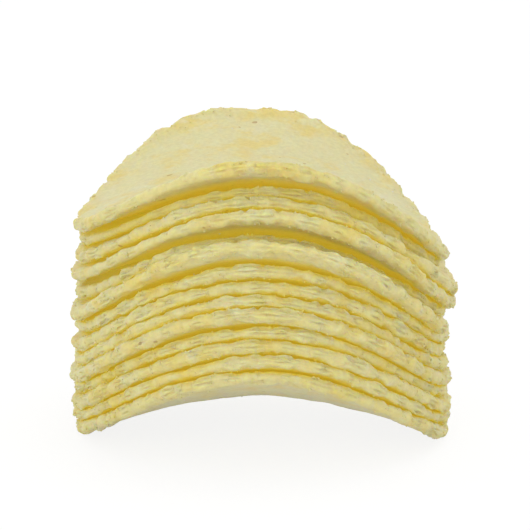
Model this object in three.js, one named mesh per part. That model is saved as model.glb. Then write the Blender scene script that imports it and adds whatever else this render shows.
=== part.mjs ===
// A stack of fourteen saddle-shaped potato crisps, standing on the side edges of the lowest one.
// Millimetres, +Z up. X runs across a crisp, the way that it arches down, and Y runs along it, the
// way that its ends turn up. The origin is under the middle of the stack, on the ground.
import * as THREE from "three";

// One crisp
const CRISP_LENGTH = 65;
const CRISP_WIDTH = 50;
const THICKNESS = 1.25;
const END_RISE = 7.8;
const SIDE_DROP = 6.9;
const RIM_BEVEL = 0.6;
const RIM_FACE = 0.6;
const OUTLINE_WAVE = 0.22;
const RIPPLE_HEIGHT = 0.05;
const RIPPLE_LENGTH = 24;

// The gap that is left between two crisps where one rests on the other
const RESTING_GAP = 0.3;

// Facets: steps round the rim, and the share of the radius at which each ring of the faces lies
const RIM_STEPS = 40;
const FACE_RINGS = [0.38, 0.68, 0.87];

// How each crisp lies, from the lowest to the highest. across and along are how far it has slid off
// the middle of the stack, in millimetres. turn and lean are its small rotations about Z and Y, in
// degrees. bow is its side drop and size its length and width, as shares of the common ones. blunt
// is the share of its half length that is missing at the far end.
const LAY = [
  { name: "bottom_crisp", across: 0.0, along: -0.5, turn: 0.0, lean: 0.0, bow: 0.88, size: 0.99, blunt: 0.01 },
  { name: "crisp_02", across: -0.2, along: -0.3, turn: 0.2, lean: 0.1, bow: 0.89, size: 1.0, blunt: 0.0 },
  { name: "crisp_03", across: -0.3, along: -0.5, turn: 0.1, lean: 0.1, bow: 0.9, size: 1.01, blunt: 0.02 },
  { name: "crisp_04", across: -0.4, along: 0.1, turn: 0.0, lean: 0.2, bow: 0.91, size: 1.0, blunt: 0.0 },
  { name: "crisp_05", across: -0.6, along: -1.5, turn: -0.2, lean: 0.3, bow: 0.92, size: 1.01, blunt: 0.01 },
  { name: "crisp_06", across: -0.6, along: -0.6, turn: -0.1, lean: 0.5, bow: 0.93, size: 1.0, blunt: 0.0 },
  { name: "crisp_07", across: -0.5, along: -0.7, turn: 0.1, lean: 0.8, bow: 0.94, size: 0.99, blunt: 0.02 },
  { name: "crisp_08", across: -0.4, along: -0.3, turn: 0.3, lean: 1.2, bow: 0.945, size: 0.99, blunt: 0.0 },
  { name: "crisp_09", across: -0.3, along: -3.1, turn: 0.4, lean: 1.7, bow: 0.95, size: 1.0, blunt: 0.0 },
  { name: "crisp_10", across: -0.1, along: 1.3, turn: 0.5, lean: 2.2, bow: 0.95, size: 0.99, blunt: 0.03 },
  { name: "crisp_11", across: 0.6, along: -0.5, turn: 0.7, lean: 3.0, bow: 0.96, size: 1.02, blunt: 0.0 },
  { name: "crisp_12", across: 0.7, along: 0.7, turn: 1.1, lean: 3.3, bow: 0.965, size: 1.015, blunt: 0.02 },
  { name: "crisp_13", across: -0.1, along: 2.2, turn: 1.8, lean: 3.6, bow: 0.97, size: 0.965, blunt: 0.05 },
  { name: "top_crisp", across: -0.2, along: -0.8, turn: 2.2, lean: 4.0, bow: 0.98, size: 0.985, blunt: 0.04 },
];

const halfLength = CRISP_LENGTH / 2;
const halfWidth = CRISP_WIDTH / 2;
const meanRadius = Math.sqrt(halfLength * halfWidth);
// Radii of the circles that the middle lines of the saddle follow at its centre
const archRadius = halfWidth ** 2 / (2 * SIDE_DROP);
const cradleRadius = halfLength ** 2 / (2 * END_RISE);
// A crisp is lowered on the one below from a height at which the two can't touch
const dropHeight = 2 * (END_RISE + SIDE_DROP + THICKNESS);

const friedPotato = new THREE.MeshStandardMaterial({
  color: new THREE.Color(0.86, 0.8, 0.5),
  roughness: 0.75,
  metalness: 0,
  side: THREE.DoubleSide,
});

// A seeded source of numbers from 0 to 1, so that each crisp keeps its own ripples.
function numbers(seed) {
  let state = seed * 7919 + 17;
  return () => {
    state = (state * 16807) % 2147483647;
    return state / 2147483647;
  };
}

// Height of the middle surface of a crisp over the plane of its centre.
function saddle(lay, ripple) {
  return (x, y) => {
    const u = x / halfWidth;
    const v = y / halfLength;
    return END_RISE * v * v - SIDE_DROP * lay.bow * u * u + ripple(x, y);
  };
}

// Shallow ripples left by frying: two crossing waves in directions of the crisp's own.
function ripples(random) {
  const waves = [0, 1].map((n) => {
    const heading = (Math.PI / 2) * (n + random());
    const pace = (2 * Math.PI) / (RIPPLE_LENGTH * (0.8 + 0.5 * random()));
    return { east: pace * Math.cos(heading), north: pace * Math.sin(heading), start: 2 * Math.PI * random() };
  });
  const wave = (w, x, y) => RIPPLE_HEIGHT * Math.sin(x * w.east + y * w.north + w.start);
  return (x, y) => waves.reduce((sum, w) => sum + wave(w, x, y), 0);
}

// How far the crisp reaches at an angle, as a share of the common oval: its outline strays a little
// from the oval, and its far end is blunt.
function outline(lay, random) {
  const lobes = [3, 5, 8].map((count) => ({ count, start: 2 * Math.PI * random() }));
  const stray = (angle) => lobes.reduce((sum, lobe) => sum + Math.sin(lobe.count * angle + lobe.start), 0);
  const farEnd = (angle) => (1 - lay.blunt) / Math.max(Math.sin(angle), 0);
  return (angle) => lay.size * Math.min(1 + (OUTLINE_WAVE / meanRadius) * stray(angle), farEnd(angle));
}

// Section of a flat round disc with a bevelled rim, from the middle of its underside to that of its top.
function discProfile() {
  const radii = [0, ...FACE_RINGS.map((share) => share * meanRadius), meanRadius - RIM_BEVEL];
  const underside = radii.map((radius) => new THREE.Vector2(radius, -THICKNESS / 2));
  underside.push(new THREE.Vector2(meanRadius, -RIM_FACE / 2));
  const top = underside.map((point) => new THREE.Vector2(point.x, -point.y)).reverse();
  return [...underside, ...top];
}

// The disc stretched to the oval and pressed on the saddle, with its thickness square to the surface.
function crispGeometry(lay, seed) {
  const random = numbers(seed);
  const height = saddle(lay, ripples(random));
  const reach = outline(lay, random);
  const geometry = new THREE.LatheGeometry(discProfile(), RIM_STEPS);
  geometry.rotateX(Math.PI / 2);
  const corners = geometry.getAttribute("position");
  const flat = new THREE.Vector3();
  const normal = new THREE.Vector3();
  const step = 0.01;
  for (let i = 0; i < corners.count; i += 1) {
    flat.fromBufferAttribute(corners, i);
    const share = reach(Math.atan2(flat.y, flat.x)) / meanRadius;
    const x = flat.x * share * halfWidth;
    const y = flat.y * share * halfLength;
    const slopeX = (height(x + step, y) - height(x - step, y)) / (2 * step);
    const slopeY = (height(x, y + step) - height(x, y - step)) / (2 * step);
    normal.set(-slopeX, -slopeY, 1).normalize();
    const point = new THREE.Vector3(x, y, height(x, y)).addScaledVector(normal, flat.z);
    corners.setXYZ(i, point.x, point.y, point.z);
  }
  geometry.computeVertexNormals();
  return geometry;
}

// A crisp at its place in plan. Sliding across turns it about the centre of the arch, and sliding
// along turns it about the centre of the cradle, so that it stays nested on the one below.
function layCrisp(lay, index) {
  const crisp = new THREE.Mesh(crispGeometry(lay, index + 1), friedPotato);
  const roll = lay.across / archRadius + THREE.MathUtils.degToRad(lay.lean);
  const pitch = lay.along / cradleRadius;
  crisp.name = lay.name;
  crisp.rotation.set(pitch, roll, THREE.MathUtils.degToRad(lay.turn), "YXZ");
  crisp.position.set(lay.across, lay.along, 0);
  crisp.updateMatrixWorld(true);
  return crisp;
}

// Distances from the corners of one crisp to the other along plumb lines, where these meet it.
function plumbDistances(from, to, direction) {
  const corners = from.geometry.getAttribute("position");
  const plumb = new THREE.Vector3(0, 0, direction);
  const ray = new THREE.Raycaster();
  const distances = [];
  for (let i = 0; i < corners.count; i += 1) {
    const corner = new THREE.Vector3().fromBufferAttribute(corners, i).applyMatrix4(from.matrixWorld);
    ray.set(corner, plumb);
    const hit = ray.intersectObject(to, false)[0];
    if (hit) distances.push(hit.distance);
  }
  return distances;
}

// Lowers a crisp from above until it rests on the one below.
function rest(upper, lower) {
  upper.position.z = lower.position.z + dropHeight;
  upper.updateMatrixWorld(true);
  const clearances = [...plumbDistances(upper, lower, -1), ...plumbDistances(lower, upper, 1)];
  upper.position.z -= Math.min(...clearances) - RESTING_GAP;
  upper.updateMatrixWorld(true);
}

function buildStack() {
  const stack = new THREE.Group();
  const crisps = LAY.map(layCrisp);
  crisps.slice(1).forEach((crisp, index) => rest(crisp, crisps[index]));
  stack.add(...crisps);
  const box = new THREE.Box3().setFromObject(stack, true);
  const centre = box.getCenter(new THREE.Vector3());
  stack.position.set(-centre.x, -centre.y, -box.min.z);
  return stack;
}

export default buildStack();
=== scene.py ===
"""A stack of saddle-shaped potato crisps on a white studio floor, seen end on and a little from above."""
import math
import bmesh
import bpy
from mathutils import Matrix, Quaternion, Vector


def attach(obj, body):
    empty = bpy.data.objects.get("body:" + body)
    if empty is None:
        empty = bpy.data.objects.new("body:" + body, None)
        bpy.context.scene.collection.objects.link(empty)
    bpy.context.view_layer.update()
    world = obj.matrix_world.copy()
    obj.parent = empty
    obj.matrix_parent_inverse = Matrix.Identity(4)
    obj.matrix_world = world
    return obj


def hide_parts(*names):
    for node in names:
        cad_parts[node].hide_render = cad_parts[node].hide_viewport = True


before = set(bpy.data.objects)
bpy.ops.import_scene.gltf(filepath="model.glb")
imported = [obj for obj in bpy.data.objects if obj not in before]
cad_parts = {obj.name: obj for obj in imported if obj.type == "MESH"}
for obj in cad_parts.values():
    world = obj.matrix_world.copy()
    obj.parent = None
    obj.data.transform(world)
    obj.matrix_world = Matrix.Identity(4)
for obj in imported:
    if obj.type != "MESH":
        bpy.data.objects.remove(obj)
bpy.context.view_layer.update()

MM = 0.001

# The picture: a long lens, close to level, that looks along the crisps
PICTURE_PIXELS = 530
FOCAL_PIXELS = 2760
SENSOR_WIDTH = 36.0
CLIP_START = 0.01
CLIP_END = 20.0
CAMERA_DISTANCE = 370 * MM
CAMERA_ELEVATION = math.radians(10.4)
CAMERA_ROLL = math.radians(0.8)
AIM = Vector((0.27 * MM, 0.0, 22.15 * MM))

# The studio
FLOOR_SIZE = 6.0
FLOOR_COLOUR = (0.9, 0.9, 0.9, 1.0)
FLOOR_ROUGHNESS = 0.9
FLOOR_GLOW = {"share": 0.8, "strength": 1.07}
SKY_COLOUR = (1.0, 1.0, 1.0, 1.0)
SKY_STRENGTH = 0.76
KEY_LAMP = {"size": 0.6, "power": 2.3, "at": (-0.3, -0.95, 0.22)}
TOP_LAMP = {"size": 0.5, "power": 0.8, "at": (0.15, 0.1, 0.8)}

# What the tree that fries a crisp is given
SKIN = {
    "Smoothing": 3,
    "Blister Size": 4.5 * MM,
    "Blister Height": 0.12 * MM,
    "Grain Size": 1.3 * MM,
    "Grain Height": 0.05 * MM,
    "Rim Swell": 0.55 * MM,
    "Rim Roughness": 0.35 * MM,
    "Nook Reach": 4.8 * MM,
}

# What the tree that scatters grains on it is given: densities are grains for each square metre
GRAINS = {
    "Crumb Density": 5.0e5,
    "Crumb Size": 0.36 * MM,
    "Salt Density": 5200.0,
    "Salt Size": 0.3 * MM,
}

# How unlike the grains are in their length, width and height, and how the crumbs crowd toward the rim
GRAIN_STRETCH = (0.4, 1.3)
CRUMB_CROWDING = 3.0

# Where the rim and its edge begin and end in a crisp's oval, which is 0 at the middle and 1 at the rim
RIM_BAND = (0.88, 0.985)
EDGE_BAND = (0.93, 0.99)
LUMP_SIZE = 2.3 * MM
NIBBLE_SIZE = 1.6 * MM

# The stretch of its noise over which each feature rises, and how far it goes, as a share of its height
BLISTER_RISE = (0.5, 0.72)
BLISTER_REACH = (-0.2, 1.0)
LUMP_RISE = (0.3, 0.68)
NIBBLE_RISE = (0.25, 0.7)
NIBBLE_REACH = (-1.0, 0.35)

# How far the noise moves on from one crisp to the next, and which draw gives a crisp its tone
SKIN_SHIFT = 3.7
LUMP_SHIFT = 4.1
NIBBLE_SHIFT = 5.3
TONE_DRAW = 3

# The rays that look for neighbours: one straight out of the skin, and the side rays leaned round it
SIDE_RAYS = 12
SIDE_RAY_TILT = math.radians(58)
RAY_START = 0.15 * MM
OPEN_AIR = 3.0 * MM
SHARE_OF_GAP = 0.46
NOOK_BLUR = 8

# Corners that are closer than this are one, and triangles that are flatter than these make a quad
SAME_CORNER = 0.001 * MM
FLAT_PAIR = math.radians(30)
SQUARE_PAIR = math.radians(60)

# Colours, linear
PALE_DOUGH = (0.73, 0.70, 0.39, 1.0)
BUTTER_DOUGH = (0.76, 0.64, 0.22, 1.0)
STARCH_BLOOM = (0.78, 0.77, 0.52, 1.0)
# The next two are painted shade: the pale gold, then the deep gold, that the dough takes deep between crisps
PAINTED_GAP_SHADE = (0.74, 0.62, 0.18, 1.0)
PAINTED_DEEP_GAP_SHADE = (0.7, 0.52, 0.03, 1.0)
# The colour of a painted glow between crisps, standing in for light that comes through the dough
PAINTED_GAP_GLOW_COLOUR = (1.0, 0.9, 0.08, 1.0)
TOASTED_SPECK = (0.42, 0.24, 0.05, 1.0)
SALT_WHITE = (0.86, 0.86, 0.84, 1.0)
SALT_FROST = (0.8, 0.78, 0.7, 1.0)

# Patterns in the dough: their sizes, and the stretch of the noise over which each one rises
CLOUD_SIZE = 6 * MM
CLOUD_RISE = (0.45, 0.68)
BLOOM_SIZE = 2.6 * MM
BLOOM_RISE = (0.5, 0.75)
SPECK_SIZE = 1.6 * MM
SPECK_RISE = (0.745, 0.79)
MOTTLE_SIZE = 0.55 * MM
MOTTLE_RISE = (0.3, 0.7)
MOTTLE_SHADE = (0.94, 1.03)
GRIT_SIZE = 0.42 * MM
PORE_SIZE = 1.1 * MM
FROST_SIZE = 0.15 * MM

# How much of its colour each of these gives the dough where it is strongest
TONE_TINT = 0.3
RIM_TINT = 0.3
BLOOM_TINT = 0.6
SPECK_TINT = 0.6

# How deep in a nook between crisps the painted shade turns the dough pale gold, then deep gold, and how a
# painted glow rises there
SHALLOW_GAP_SHADE_DEPTH = (0.12, 0.55)
DEEP_GAP_SHADE_DEPTH = (0.5, 0.9)
GAP_GLOW_DEPTH = (0.1, 0.7)
PAINTED_GLOW_STRENGTH = 0.15

# How the dough and the salt take the light
DOUGH_SOFTNESS = 0.85
DOUGH_ROUGHNESS = (0.52, 0.7)
DOUGH_SHADER = {
    "Subsurface Radius": (1.0, 0.7, 0.12),
    "Subsurface Scale": 2.0 * MM,
    "Specular IOR Level": 0.42,
    # The emission is a painted glow in the gaps between crisps
    "Emission Color": PAINTED_GAP_GLOW_COLOUR,
}
PORE_BUMP = {"Strength": 0.28, "Distance": 0.1 * MM}
GRIT_BUMP = {"Strength": 0.55, "Distance": 0.14 * MM}
SALT_ROUGHNESS = 0.25


def feed(tree, node, inputs):
    """Gives these inputs of a node, by name or number, each a value or a link from another node's socket."""
    for key, value in inputs.items():
        if isinstance(value, bpy.types.NodeSocket):
            tree.links.new(value, node.inputs[key])
        else:
            node.inputs[key].default_value = value


def add(tree, kind, inputs=None, **settings):
    """A new node of the tree."""
    node = tree.nodes.new(kind)
    for name, value in settings.items():
        setattr(node, name, value)
    feed(tree, node, inputs or {})
    return node


def calculate(tree, operation, *values):
    """A number worked out from numbers or sockets."""
    return add(tree, "ShaderNodeMath", dict(enumerate(values)), operation=operation).outputs[0]


def combine(tree, operation, *values):
    """A vector worked out from vectors or sockets."""
    return add(tree, "ShaderNodeVectorMath", dict(enumerate(values)), operation=operation).outputs[0]


def scaled(tree, vector, factor):
    """A vector times a number."""
    return add(tree, "ShaderNodeVectorMath", {0: vector, "Scale": factor}, operation="SCALE").outputs[0]


def length_of(tree, vector):
    """How long a vector is."""
    return add(tree, "ShaderNodeVectorMath", {0: vector}, operation="LENGTH").outputs["Value"]


def dot_product(tree, first, second):
    """How far two vectors point the same way."""
    inputs = {0: first, 1: second}
    return add(tree, "ShaderNodeVectorMath", inputs, operation="DOT_PRODUCT").outputs["Value"]


def ramp(tree, value, low, high, to_low=0.0, to_high=1.0):
    """value brought from low..high to to_low..to_high, eased and clamped."""
    inputs = {"Value": value, 1: low, 2: high, 3: to_low, 4: to_high}
    return add(tree, "ShaderNodeMapRange", inputs, interpolation_type="SMOOTHSTEP").outputs[0]


# Geometry of the crisps


def new_tree(name, inputs):
    """An empty tree with these inputs and a geometry as its output, and its input sockets."""
    tree = bpy.data.node_groups.new(name, "GeometryNodeTree")
    for label, kind in inputs.items():
        tree.interface.new_socket(label, in_out="INPUT", socket_type="NodeSocket" + kind)
    tree.interface.new_socket("Result", in_out="OUTPUT", socket_type="NodeSocketGeometry")
    return tree, add(tree, "NodeGroupInput").outputs


def crisp_tree():
    """Geometry nodes that turn a smooth crisp into a fried one: blistered, granular, ragged at its rim."""
    tree, given = new_tree("Fried crisp", {
        "Crisp": "Geometry",
        "Stack": "Object",
        "Smoothing": "Int",
        "Blister Size": "Float",
        "Blister Height": "Float",
        "Grain Size": "Float",
        "Grain Height": "Float",
        "Rim Swell": "Float",
        "Rim Roughness": "Float",
        "Nook Reach": "Float",
        "Seed": "Int",
        "Dough": "Material",
    })
    position = add(tree, "GeometryNodeInputPosition").outputs[0]
    normal = add(tree, "GeometryNodeInputNormal").outputs[0]
    nearness = rim_nearness(tree, given["Crisp"], position)

    inputs = {"Mesh": given["Crisp"], "Level": given["Smoothing"]}
    crisp = add(tree, "GeometryNodeSubdivisionSurface", inputs).outputs[0]
    crisp = store(tree, crisp, "rim", nearness)
    # The nook depth is the mask for the dough's painted shade and painted glow between crisps
    crisp = store(tree, crisp, "nook", nook_depth(tree, given, position, normal))
    crisp = store(tree, crisp, "tone", crisp_tone(tree, given["Seed"]))

    relief = skin_relief(tree, given, position)
    swell = rim_swell(tree, given, position, normal, nearness)
    outward = scaled(tree, normal, calculate(tree, "ADD", relief, swell))
    offset = combine(tree, "ADD", outward, rim_fray(tree, given, position))
    crisp = add(tree, "GeometryNodeSetPosition", {"Geometry": crisp, "Offset": offset}).outputs[0]
    crisp = add(tree, "GeometryNodeSetShadeSmooth", {"Geometry": crisp}).outputs[0]
    crisp = kept_in_box(tree, given, crisp, position)
    crisp = add(tree, "GeometryNodeSetMaterial", {"Geometry": crisp, "Material": given["Dough"]}).outputs[0]
    add(tree, "NodeGroupOutput", {0: crisp})
    return tree


def grain_tree():
    """Geometry nodes that make the loose grains on a fried crisp: crumbs along its rim, and salt."""
    tree, given = new_tree("Grains on a crisp", {
        "Fried Crisp": "Geometry",
        "Stack": "Object",
        "Crumb Density": "Float",
        "Crumb Size": "Float",
        "Salt Density": "Float",
        "Salt Size": "Float",
        "Seed": "Int",
        "Crumb": "Material",
        "Salt": "Material",
    })
    both = add(tree, "GeometryNodeJoinGeometry")
    for grains in (rim_crumbs(tree, given), salt_grains(tree, given)):
        tree.links.new(grains, both.inputs[0])
    position = add(tree, "GeometryNodeInputPosition").outputs[0]
    add(tree, "NodeGroupOutput", {0: kept_in_box(tree, given, both.outputs[0], position)})
    return tree


def stack_solids(tree, given):
    """The solids of the whole stack."""
    inputs = {"Object": given["Stack"]}
    return add(tree, "GeometryNodeObjectInfo", inputs, transform_space="ORIGINAL").outputs["Geometry"]


def kept_in_box(tree, given, geometry, position):
    """The geometry with what stands out of the stack's own box moved back to it."""
    box = add(tree, "GeometryNodeBoundBox", {"Geometry": stack_solids(tree, given)}).outputs
    inside = combine(tree, "MINIMUM", combine(tree, "MAXIMUM", position, box["Min"]), box["Max"])
    return add(tree, "GeometryNodeSetPosition", {"Geometry": geometry, "Position": inside}).outputs[0]


def store(tree, geometry, name, value):
    """The geometry with a number of this name kept on each of its points."""
    inputs = {"Geometry": geometry, "Name": name, "Value": value}
    return add(tree, "GeometryNodeStoreNamedAttribute", inputs, data_type="FLOAT", domain="POINT").outputs[0]


def oval(tree, crisp, position):
    """Where a point lies in the crisp's oval: 0 at the middle and 1 at the rim, with a direction."""
    bounds = add(tree, "GeometryNodeBoundBox", {"Geometry": crisp}).outputs
    centre = scaled(tree, combine(tree, "ADD", bounds["Min"], bounds["Max"]), 0.5)
    half = scaled(tree, combine(tree, "SUBTRACT", bounds["Max"], bounds["Min"]), 0.5)
    share = combine(tree, "DIVIDE", combine(tree, "SUBTRACT", position, centre), half)
    return combine(tree, "MULTIPLY", share, (1.0, 1.0, 0.0))


def rim_nearness(tree, crisp, position):
    """0 over most of the crisp and 1 at its rim."""
    return ramp(tree, length_of(tree, oval(tree, crisp, position)), *RIM_BAND)


def crisp_tone(tree, seed):
    """One number from 0 to 1 for each crisp, for how pale it was fried."""
    inputs = {2: 0.0, 3: 1.0, "ID": TONE_DRAW, "Seed": seed}
    return add(tree, "FunctionNodeRandomValue", inputs, data_type="FLOAT").outputs[1]


def above_skin(tree, position, normal):
    """A point that lies clear of the skin, where a ray can start."""
    return combine(tree, "ADD", position, scaled(tree, normal, RAY_START))


def cast_ray(tree, stack, start, direction, reach):
    """What a ray meets in the stack."""
    inputs = {
        "Target Geometry": stack,
        "Source Position": start,
        "Ray Direction": direction,
        "Ray Length": reach,
    }
    return add(tree, "GeometryNodeRaycast", inputs).outputs


def nook_depth(tree, given, position, normal):
    """0 where a point lies open and 1 deep between two crisps: the share of its view that is near crisp."""
    stack = stack_solids(tree, given)
    start = above_skin(tree, position, normal)
    along = combine(tree, "NORMALIZE", combine(tree, "CROSS_PRODUCT", normal, (1.0, 0.0, 0.0)))
    across = combine(tree, "CROSS_PRODUCT", along, normal)
    blocked = 0.0
    for ray in range(SIDE_RAYS + 1):
        tilt = 0.0 if ray == SIDE_RAYS else SIDE_RAY_TILT
        heading = 2 * math.pi * ray / SIDE_RAYS
        step_along = scaled(tree, along, math.sin(tilt) * math.cos(heading))
        step_across = scaled(tree, across, math.sin(tilt) * math.sin(heading))
        sideways = combine(tree, "ADD", step_along, step_across)
        direction = combine(tree, "ADD", scaled(tree, normal, math.cos(tilt)), sideways)
        met = cast_ray(tree, stack, start, direction, given["Nook Reach"])
        faced = calculate(tree, "LESS_THAN", dot_product(tree, direction, met["Hit Normal"]), 0.0)
        distance = calculate(tree, "DIVIDE", met["Hit Distance"], given["Nook Reach"])
        closeness = calculate(tree, "SUBTRACT", 1.0, distance)
        counted = calculate(tree, "MULTIPLY", met["Is Hit"], faced)
        blocked = calculate(tree, "ADD", blocked, calculate(tree, "MULTIPLY", counted, closeness))
    share = calculate(tree, "DIVIDE", blocked, SIDE_RAYS + 1)
    return add(tree, "GeometryNodeBlurAttribute", {0: share, "Iterations": NOOK_BLUR}).outputs[0]


def own_noise(tree, given, position, shift, scale, detail, roughness=0.5):
    """Noise over a crisp that is different on each one."""
    own = calculate(tree, "MULTIPLY", given["Seed"], shift)
    inputs = {"Vector": position, "W": own, "Scale": scale, "Detail": detail, "Roughness": roughness}
    return add(tree, "ShaderNodeTexNoise", inputs, noise_dimensions="4D").outputs[0]


def skin_relief(tree, given, position):
    """How far the fried surface stands out: low round blisters, with a finer grain over them."""
    blister_scale = calculate(tree, "DIVIDE", 1.0, given["Blister Size"])
    blister = own_noise(tree, given, position, SKIN_SHIFT, blister_scale, detail=1.0)
    blister = ramp(tree, blister, *BLISTER_RISE, *BLISTER_REACH)
    grain_scale = calculate(tree, "DIVIDE", 1.0, given["Grain Size"])
    grain = own_noise(tree, given, position, SKIN_SHIFT, grain_scale, detail=1.0)
    grain = calculate(tree, "MULTIPLY", calculate(tree, "SUBTRACT", grain, 0.5), 2.0)
    blister = calculate(tree, "MULTIPLY", blister, given["Blister Height"])
    return calculate(tree, "ADD", blister, calculate(tree, "MULTIPLY", grain, given["Grain Height"]))


def rim_swell(tree, given, position, normal, nearness):
    """How far the puffed, lumpy rim stands out toward its neighbours, which it never reaches."""
    lump = own_noise(tree, given, position, LUMP_SHIFT, 1 / LUMP_SIZE, detail=2.0, roughness=0.6)
    puff = calculate(tree, "MULTIPLY", ramp(tree, lump, *LUMP_RISE), given["Rim Swell"])
    start = above_skin(tree, position, normal)
    met = cast_ray(tree, stack_solids(tree, given), start, normal, OPEN_AIR)
    inputs = {0: met["Is Hit"], 2: OPEN_AIR, 3: met["Hit Distance"]}
    gap = add(tree, "ShaderNodeMix", inputs, data_type="FLOAT").outputs[0]
    puff = calculate(tree, "MINIMUM", puff, calculate(tree, "MULTIPLY", gap, SHARE_OF_GAP))
    return calculate(tree, "MULTIPLY", puff, nearness)


def rim_fray(tree, given, position):
    """The rim's small nibbles and bulges, toward the middle of the crisp and away from it."""
    ragged = own_noise(tree, given, position, NIBBLE_SHIFT, 1 / NIBBLE_SIZE, detail=1.5)
    amount = ramp(tree, ragged, *NIBBLE_RISE, *NIBBLE_REACH)
    amount = calculate(tree, "MULTIPLY", amount, given["Rim Roughness"])
    place = oval(tree, given["Crisp"], position)
    edge = ramp(tree, length_of(tree, place), *EDGE_BAND)
    return scaled(tree, combine(tree, "NORMALIZE", place), calculate(tree, "MULTIPLY", amount, edge))


def random_vector(tree, seed, low, high):
    """Three random numbers between low and high."""
    inputs = {0: (low, low, low), 1: (high, high, high), "Seed": seed}
    return add(tree, "FunctionNodeRandomValue", inputs, data_type="FLOAT_VECTOR").outputs[0]


def scattered(tree, given, density, size):
    """Grains on the skin, half sunk in it, each turned and stretched in its own way."""
    inputs = {"Mesh": given["Fried Crisp"], "Density": density, "Seed": given["Seed"]}
    points = add(tree, "GeometryNodeDistributePointsOnFaces", inputs).outputs["Points"]
    grain = add(tree, "GeometryNodeMeshIcoSphere", {"Radius": 0.5, "Subdivisions": 1}).outputs[0]
    turn = random_vector(tree, given["Seed"], 0.0, 2 * math.pi)
    stretch = scaled(tree, random_vector(tree, given["Seed"], *GRAIN_STRETCH), size)
    inputs = {"Points": points, "Instance": grain, "Rotation": turn, "Scale": stretch}
    grains = add(tree, "GeometryNodeInstanceOnPoints", inputs).outputs[0]
    return add(tree, "GeometryNodeRealizeInstances", {"Geometry": grains}).outputs[0]


def rim_crumbs(tree, given):
    """Crumbs of dough that make the rim granular, more of them toward its edge."""
    inputs = {"Name": "rim"}
    rim = add(tree, "GeometryNodeInputNamedAttribute", inputs, data_type="FLOAT").outputs["Attribute"]
    crowding = calculate(tree, "POWER", rim, CRUMB_CROWDING)
    density = calculate(tree, "MULTIPLY", crowding, given["Crumb Density"])
    crumbs = scattered(tree, given, density, given["Crumb Size"])
    crumbs = add(tree, "GeometryNodeSetShadeSmooth", {"Geometry": crumbs}).outputs[0]
    return add(tree, "GeometryNodeSetMaterial", {"Geometry": crumbs, "Material": given["Crumb"]}).outputs[0]


def salt_grains(tree, given):
    """A few small crystals of salt."""
    grains = scattered(tree, given, given["Salt Density"], given["Salt Size"])
    return add(tree, "GeometryNodeSetMaterial", {"Geometry": grains, "Material": given["Salt"]}).outputs[0]


def merged_mesh(node, name):
    """A copy of a CAD crisp's mesh with its corners merged and its pairs of triangles made quads."""
    shape = bmesh.new()
    shape.from_mesh(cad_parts[node].data)
    bmesh.ops.remove_doubles(shape, verts=shape.verts, dist=SAME_CORNER)
    bmesh.ops.join_triangles(
        shape, faces=shape.faces, angle_face_threshold=FLAT_PAIR, angle_shape_threshold=SQUARE_PAIR
    )
    mesh = bpy.data.meshes.new(name)
    shape.to_mesh(mesh)
    shape.free()
    return mesh


def whole_stack(nodes):
    """One helper with every crisp's solid, for the rays that look for neighbours."""
    shape = bmesh.new()
    for node in nodes:
        shape.from_mesh(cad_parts[node].data)
    mesh = bpy.data.meshes.new("stack_solids")
    shape.to_mesh(mesh)
    shape.free()
    return bpy.data.objects.new("stack_solids", mesh)


def set_input(modifier, name, value):
    """Sets a modifier's input, which is found by its identifier."""
    for item in modifier.node_group.interface.items_tree:
        if item.item_type == "SOCKET" and item.in_out == "INPUT" and item.name == name:
            modifier[item.identifier] = value


def shaped(name, mesh, tree, given):
    """A plain object with what the tree makes of a mesh."""
    raw = bpy.data.objects.new(name + "_raw", mesh)
    bpy.context.scene.collection.objects.link(raw)
    modifier = raw.modifiers.new(tree.name, "NODES")
    modifier.node_group = tree
    for key, value in given.items():
        set_input(modifier, key, value)
    depsgraph = bpy.context.evaluated_depsgraph_get()
    result = bpy.data.meshes.new_from_object(raw.evaluated_get(depsgraph), depsgraph=depsgraph)
    result.name = name
    piece = bpy.data.objects.new(name, result)
    bpy.context.scene.collection.objects.link(piece)
    bpy.data.objects.remove(raw)
    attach(piece, "root")
    return piece


# Materials


def new_material(name):
    """A material, its tree and its shader."""
    material = bpy.data.materials.new(name)
    material.use_nodes = True
    tree = material.node_tree
    shader = tree.nodes["Principled BSDF"]
    return material, tree, shader


def noise(tree, vector, size, detail=2.0, roughness=0.5):
    """Noise whose features are about this size."""
    inputs = {"Vector": vector, "Scale": 1 / size, "Detail": detail, "Roughness": roughness}
    return add(tree, "ShaderNodeTexNoise", inputs).outputs[0]


def blend_colour(tree, amount, first, second):
    """first where amount is 0, and second where it is 1."""
    return add(tree, "ShaderNodeMix", {"Factor": amount, 6: first, 7: second}, data_type="RGBA").outputs[2]


def attribute(tree, name):
    """A number that the crisp's tree stored on its points."""
    return add(tree, "ShaderNodeAttribute", attribute_name=name).outputs["Fac"]


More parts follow.
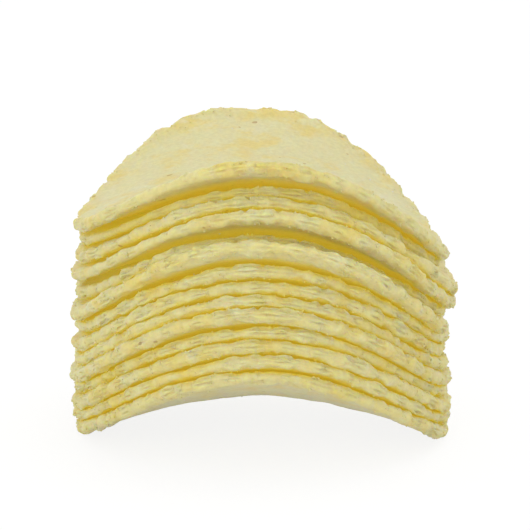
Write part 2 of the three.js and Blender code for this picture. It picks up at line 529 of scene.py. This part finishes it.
def dough_colour(tree, place, bloom, nook):
    """Pale dough with clouds of butter yellow, starch on it, painted golden shade in its nooks between crisps
    and a few toasted specks.
    """
    cloud = ramp(tree, noise(tree, place, CLOUD_SIZE, detail=3.0, roughness=0.6), *CLOUD_RISE)
    specks = ramp(tree, noise(tree, place, SPECK_SIZE, detail=1.0), *SPECK_RISE)
    layers = (
        (BUTTER_DOUGH, cloud),
        (BUTTER_DOUGH, calculate(tree, "MULTIPLY", attribute(tree, "tone"), TONE_TINT)),
        (BUTTER_DOUGH, calculate(tree, "MULTIPLY", attribute(tree, "rim"), RIM_TINT)),
        (STARCH_BLOOM, calculate(tree, "MULTIPLY", bloom, BLOOM_TINT)),
        # Painted shade: pale gold, then deep gold, deeper between crisps
        (PAINTED_GAP_SHADE, ramp(tree, nook, *SHALLOW_GAP_SHADE_DEPTH)),
        (PAINTED_DEEP_GAP_SHADE, ramp(tree, nook, *DEEP_GAP_SHADE_DEPTH)),
        (TOASTED_SPECK, calculate(tree, "MULTIPLY", specks, SPECK_TINT)),
    )
    colour = PALE_DOUGH
    for tint, amount in layers:
        colour = blend_colour(tree, amount, colour, tint)
    mottle = noise(tree, place, MOTTLE_SIZE, detail=3.0, roughness=0.6)
    return scaled(tree, colour, ramp(tree, mottle, *MOTTLE_RISE, *MOTTLE_SHADE))


def dough_bump(tree, place):
    """Shallow pores with a fine grit over them."""
    inputs = {"Vector": place, "Scale": 1 / PORE_SIZE}
    pores = add(tree, "ShaderNodeTexVoronoi", inputs, feature="SMOOTH_F1").outputs["Distance"]
    pitted = add(tree, "ShaderNodeBump", {"Height": pores, **PORE_BUMP}).outputs[0]
    grit = noise(tree, place, GRIT_SIZE, detail=4.0, roughness=0.7)
    return add(tree, "ShaderNodeBump", {"Height": grit, "Normal": pitted, **GRIT_BUMP}).outputs[0]


def fried_dough(name, softness):
    """Fried potato dough: pale and starchy where it is open, with painted golden shade and a painted glow
    deep between crisps.
    """
    material, tree, shader = new_material(name)
    place = add(tree, "ShaderNodeTexCoord").outputs["Object"]
    nook = attribute(tree, "nook")
    bloom = ramp(tree, noise(tree, place, BLOOM_SIZE, detail=4.0, roughness=0.6), *BLOOM_RISE)
    feed(tree, shader, DOUGH_SHADER)
    feed(tree, shader, {
        "Base Color": dough_colour(tree, place, bloom, nook),
        "Roughness": ramp(tree, bloom, 0.0, 1.0, *DOUGH_ROUGHNESS),
        "Subsurface Weight": softness,
        # Painted glow deep between crisps
        "Emission Strength": ramp(tree, nook, *GAP_GLOW_DEPTH, 0.0, PAINTED_GLOW_STRENGTH),
        "Normal": dough_bump(tree, place),
    })
    return material


def salt_crystal():
    """Clear white salt."""
    material, tree, shader = new_material("table salt")
    place = add(tree, "ShaderNodeTexCoord").outputs["Object"]
    frost = noise(tree, place, FROST_SIZE)
    colour = blend_colour(tree, frost, SALT_WHITE, SALT_FROST)
    feed(tree, shader, {"Base Color": colour, "Roughness": SALT_ROUGHNESS})
    return material


# The camera, the lamps, the floor and the sky


def camera():
    """The camera, which looks from the near end of the crisps."""
    data = bpy.data.cameras.new("camera")
    data.sensor_width = SENSOR_WIDTH
    data.lens = SENSOR_WIDTH * FOCAL_PIXELS / PICTURE_PIXELS
    data.clip_start = CLIP_START
    data.clip_end = CLIP_END
    view = bpy.data.objects.new("camera", data)
    back = Vector((0.0, -math.cos(CAMERA_ELEVATION), math.sin(CAMERA_ELEVATION)))
    view.location = AIM + CAMERA_DISTANCE * back
    roll = Quaternion((0.0, 0.0, 1.0), CAMERA_ROLL)
    view.rotation_euler = ((-back).to_track_quat("-Z", "Y") @ roll).to_euler()
    bpy.context.scene.collection.objects.link(view)
    bpy.context.scene.camera = view


def lamp(name, size, power, at):
    """A round soft lamp that shines on the stack."""
    data = bpy.data.lights.new(name, "AREA")
    data.shape = "DISK"
    data.size = size
    data.energy = power
    light = bpy.data.objects.new(name, data)
    light.location = at
    light.rotation_euler = (AIM - Vector(at)).to_track_quat("-Z", "Y").to_euler()
    bpy.context.scene.collection.objects.link(light)


def seen_directly(tree):
    """1 for what the camera sees, straight or through a mirror or glass, and 0 for what lights the object."""
    path = add(tree, "ShaderNodeLightPath").outputs
    seen = calculate(tree, "MAXIMUM", path["Is Camera Ray"], path["Is Glossy Ray"])
    return calculate(tree, "MAXIMUM", seen, path["Is Transmission Ray"])


def floor():
    """A white floor whose glow is only seen, straight or mirrored, and leaves the stack its shadow."""
    half = FLOOR_SIZE / 2
    corners = [(-half, -half, 0), (half, -half, 0), (half, half, 0), (-half, half, 0)]
    mesh = bpy.data.meshes.new("floor")
    mesh.from_pydata(corners, [], [(0, 1, 2, 3)])
    plane = bpy.data.objects.new("floor", mesh)
    bpy.context.scene.collection.objects.link(plane)
    material, tree, shader = new_material("white floor")
    feed(tree, shader, {"Base Color": FLOOR_COLOUR, "Roughness": FLOOR_ROUGHNESS})
    glow = add(tree, "ShaderNodeEmission", {"Strength": FLOOR_GLOW["strength"]})
    amount = calculate(tree, "MULTIPLY", seen_directly(tree), FLOOR_GLOW["share"])
    mix = add(tree, "ShaderNodeMixShader", {0: amount, 1: shader.outputs[0], 2: glow.outputs[0]})
    feed(tree, tree.nodes["Material Output"], {"Surface": mix.outputs[0]})
    mesh.materials.append(material)


def sky():
    """Even light from all round, and white where it is seen."""
    world = bpy.data.worlds.new("studio")
    world.use_nodes = True
    tree = world.node_tree
    inputs = {0: seen_directly(tree), 2: SKY_STRENGTH, 3: 1.0}
    strength = add(tree, "ShaderNodeMix", inputs, data_type="FLOAT").outputs[0]
    feed(tree, tree.nodes["Background"], {"Color": SKY_COLOUR, "Strength": strength})
    bpy.context.scene.world = world


camera()
bpy.context.scene.view_settings.view_transform = "Standard"
sky()
floor()
lamp("key_lamp", **KEY_LAMP)
lamp("top_lamp", **TOP_LAMP)

crisps = list(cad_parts)
stack = whole_stack(crisps)
skin_tree = crisp_tree()
loose_tree = grain_tree()
dough = fried_dough("fried potato", DOUGH_SOFTNESS)
crumb = fried_dough("crumbs of fried potato", 0.0)
salt = salt_crystal()
for seed, node in enumerate(crisps, start=1):
    skin = dict(SKIN, Seed=seed, Stack=stack, Dough=dough)
    crisp = shaped("fried_" + node, merged_mesh(node, node + "_raw"), skin_tree, skin)
    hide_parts(node)
    loose = dict(GRAINS, Seed=seed, Stack=stack, Crumb=crumb, Salt=salt)
    shaped("grains_on_" + node, crisp.data, loose_tree, loose)
bpy.data.objects.remove(stack)
